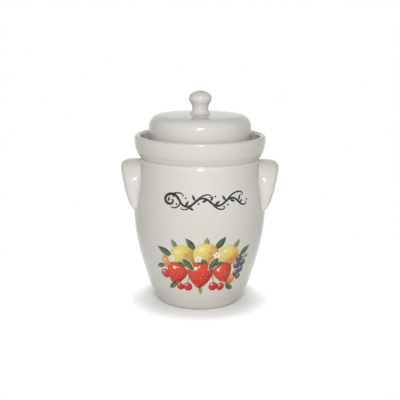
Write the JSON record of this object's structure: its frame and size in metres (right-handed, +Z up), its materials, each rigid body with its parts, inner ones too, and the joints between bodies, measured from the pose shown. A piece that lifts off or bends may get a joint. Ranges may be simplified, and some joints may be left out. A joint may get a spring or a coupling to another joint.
{
  "type": "rumtopf pot",
  "caption": "Stoneware fruit crock with a water groove round its mouth, ear handles, a lift-off domed lid with a knob, and half-round weight stones inside.",
  "frame": {"origin": "middle of the foot, on the surface the pot stands on", "axes": "+Z up along the pot's axis, -Y the decorated front, handles at +X and -X"},
  "size_m": [0.238, 0.2, 0.3252],
  "materials": {
    "cream_glaze": "gloss",
    "bare_stoneware": "matt"
  },
  "bodies": {
    "crock": {"crock_body": "cream_glaze", "left_handle": "cream_glaze", "right_handle": "cream_glaze"},
    "lid": {"lid": "cream_glaze", "lid_knob": "cream_glaze"},
    "front_stone": {"front_weight_stone": "bare_stoneware"},
    "back_stone": {"back_weight_stone": "bare_stoneware"}
  },
  "joints": [
    {"name": "lid_lift", "type": "slide", "parent": "crock", "child": "lid", "axis": [0, 0, 1], "range_m": [0, 0.12]},
    {"name": "front_stone_lift", "type": "slide", "parent": "crock", "child": "front_stone", "axis": [0, 0, 1], "range_m": [0, 0.15]},
    {"name": "back_stone_lift", "type": "slide", "parent": "crock", "child": "back_stone", "axis": [0, 0, 1], "range_m": [0, 0.15]}
  ]
}
